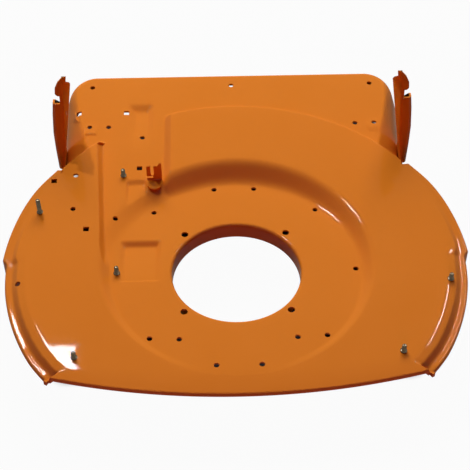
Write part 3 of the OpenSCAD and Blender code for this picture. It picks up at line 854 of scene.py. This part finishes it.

# %% [markdown]
# ## Floor and light
#
# The deck stands on a white floor that fades into its own brightness, with a
# faint shadow. Under the deck the floor is painted near black, a painted
# shadow, and a disc below the large hole is left glowing white, painted light
# where the real floor would lie in shade. The light is a wide soft source above
# and behind, so faces that look up or back are bright and those that look
# forward are dark, which is what shows the pressing's shape.

# %% Floor
floor_mesh = bpy.data.meshes.new("floor")
reach = 6.0
floor_mesh.from_pydata([(-reach, -reach, SKIRT_Z * MM), (reach, -reach, SKIRT_Z * MM), (reach, reach, SKIRT_Z * MM), (-reach, reach, SKIRT_Z * MM)], [], [(0, 1, 2, 3)])
floor = bpy.data.objects.new("floor", floor_mesh)
bpy.context.scene.collection.objects.link(floor)
pale = Finish("pale_floor", Roughness=1.0)
pale.shader.inputs["Specular IOR Level"].default_value = 0.0
spot = Value(pale, pale.node("ShaderNodeNewGeometry").socket.node.outputs["Position"])


def within(x, y, r, soft):
    """1 on the floor closer than r to a point, in metres, and 0 outside."""
    away = pale.node("ShaderNodeVectorMath", {"operation": "DISTANCE"}, spot, (x, y, SKIRT_Z * MM))
    away = Value(pale, away.socket.node.outputs["Value"])
    return pale.node("ShaderNodeMapRange", {}, away, r - soft, r, 1.0, 0.0)


def between(low, high, axis=1, soft=0.02):
    """1 on the floor between two values of x or y, in metres, and 0 outside."""
    parts = pale.node("ShaderNodeSeparateXYZ", {}, spot).socket.node.outputs
    at = Value(pale, parts[axis])
    return pale.node("ShaderNodeMapRange", {}, at, low, low + soft) * pale.node("ShaderNodeMapRange", {}, at, high - soft, high, 1.0, 0.0)


# Painted shadow: under the deck's footprint the floor is painted near black and loses its glow, so the holes and the
# gap under the front edge read dark. A disc below the large hole is left out and keeps glowing white, which is painted
# light.
under = pale.node("ShaderNodeMath", {"operation": "MAXIMUM"}, within(0, 0.06, 0.272, 0.01) * between(-0.11, 0.335), between(-0.225, 0.225, 0) * between(0.05, 0.38))
painted_shadow = under * (1 - within(0, 0.06, 0.09, 0.008))
# Base colour: the pale floor, near black where the painted shadow lies.
pale.feed("Base Color", pale.node("ShaderNodeMix", {"data_type": "RGBA"}, Factor=painted_shadow, A=(0.25, 0.25, 0.25, 1.0), B=(0.02, 0.02, 0.02, 1.0)))
rays = pale.node("ShaderNodeLightPath").socket.node.outputs
seen = Value(pale, rays["Is Camera Ray"]) + Value(pale, rays["Is Glossy Ray"]) + Value(pale, rays["Is Transmission Ray"])
glow = pale.node("ShaderNodeEmission", {}, Color=(1.0, 1.0, 1.0, 1.0), Strength=1.0)
# The glow shows to camera, glossy and transmission rays, and is taken away where the painted shadow lies.
share = pale.node("ShaderNodeMath", {"operation": "MINIMUM"}, seen, 1.0) * (1 - painted_shadow) * 0.96
shader = Value(pale, pale.shader.outputs["BSDF"])
blend = pale.node("ShaderNodeMixShader", {}, share, shader, glow)
pale.tree.links.new(blend.socket, pale.tree.nodes["Material Output"].inputs["Surface"])
floor_mesh.materials.append(pale.material)
print("floor at", SKIRT_Z, "mm")

# %% World and lamps
world = bpy.data.worlds.new("studio")
bpy.context.scene.world = world
world.use_nodes = True
sky = world.node_tree
rays = sky.nodes.new("ShaderNodeLightPath").outputs
background = sky.nodes["Background"]
bright = sky.nodes.new("ShaderNodeMath")
bright.operation = "MAXIMUM"
sky.links.new(rays["Is Camera Ray"], bright.inputs[0])
sky.links.new(rays["Is Transmission Ray"], bright.inputs[1])
either = sky.nodes.new("ShaderNodeMath")
either.operation = "MAXIMUM"
sky.links.new(bright.outputs[0], either.inputs[0])
sky.links.new(rays["Is Glossy Ray"], either.inputs[1])
level = sky.nodes.new("ShaderNodeMapRange")
level.inputs["To Min"].default_value, level.inputs["To Max"].default_value = 0.03, 1.0
sky.links.new(either.outputs[0], level.inputs["Value"])
sky.links.new(level.outputs["Result"], background.inputs["Strength"])
background.inputs["Color"].default_value = (1.0, 1.0, 1.0, 1.0)


def lamp(name, at, aim, size, watts, colour=(1.0, 1.0, 1.0), mirrored=True, lights=True):
    data = bpy.data.lights.new(name, "AREA")
    data.shape, data.size, data.size_y, data.energy = "RECTANGLE", size[0], size[1], watts
    data.color = colour
    made = bpy.data.objects.new(name, data)
    made.location = at
    made.rotation_euler = (Vector(aim) - Vector(at)).to_track_quat("-Z", "Y").to_euler()
    made.visible_glossy, made.visible_diffuse = mirrored, lights
    bpy.context.scene.collection.objects.link(made)
    return made


lamp("key", (-0.6, 0.9, 1.8), (0, 0.05, 0), (0.07, 0.07), 11, mirrored=False)
lamp("soft_box", (0.05, 3.0, 2.95), (0, 0.05, 0), (3.0, 1.8), 176, mirrored=False)
lamp("warm_fill", (0.0, -1.6, 0.35), (0, 0.05, 0), (0.8, 0.5), 4.5, colour=(1.0, 0.12, 0.05), mirrored=False)
lamp("left_panel", (-0.59, 0.82, 1.72), (-0.59, 0.82, 0), (0.31, 0.24), 42, lights=False)
lamp("right_panel", (0.98, 0.8, 1.6), (0.98, 0.8, 0), (0.16, 0.5), 30, lights=False)
bpy.context.scene.view_settings.view_transform = "Standard"
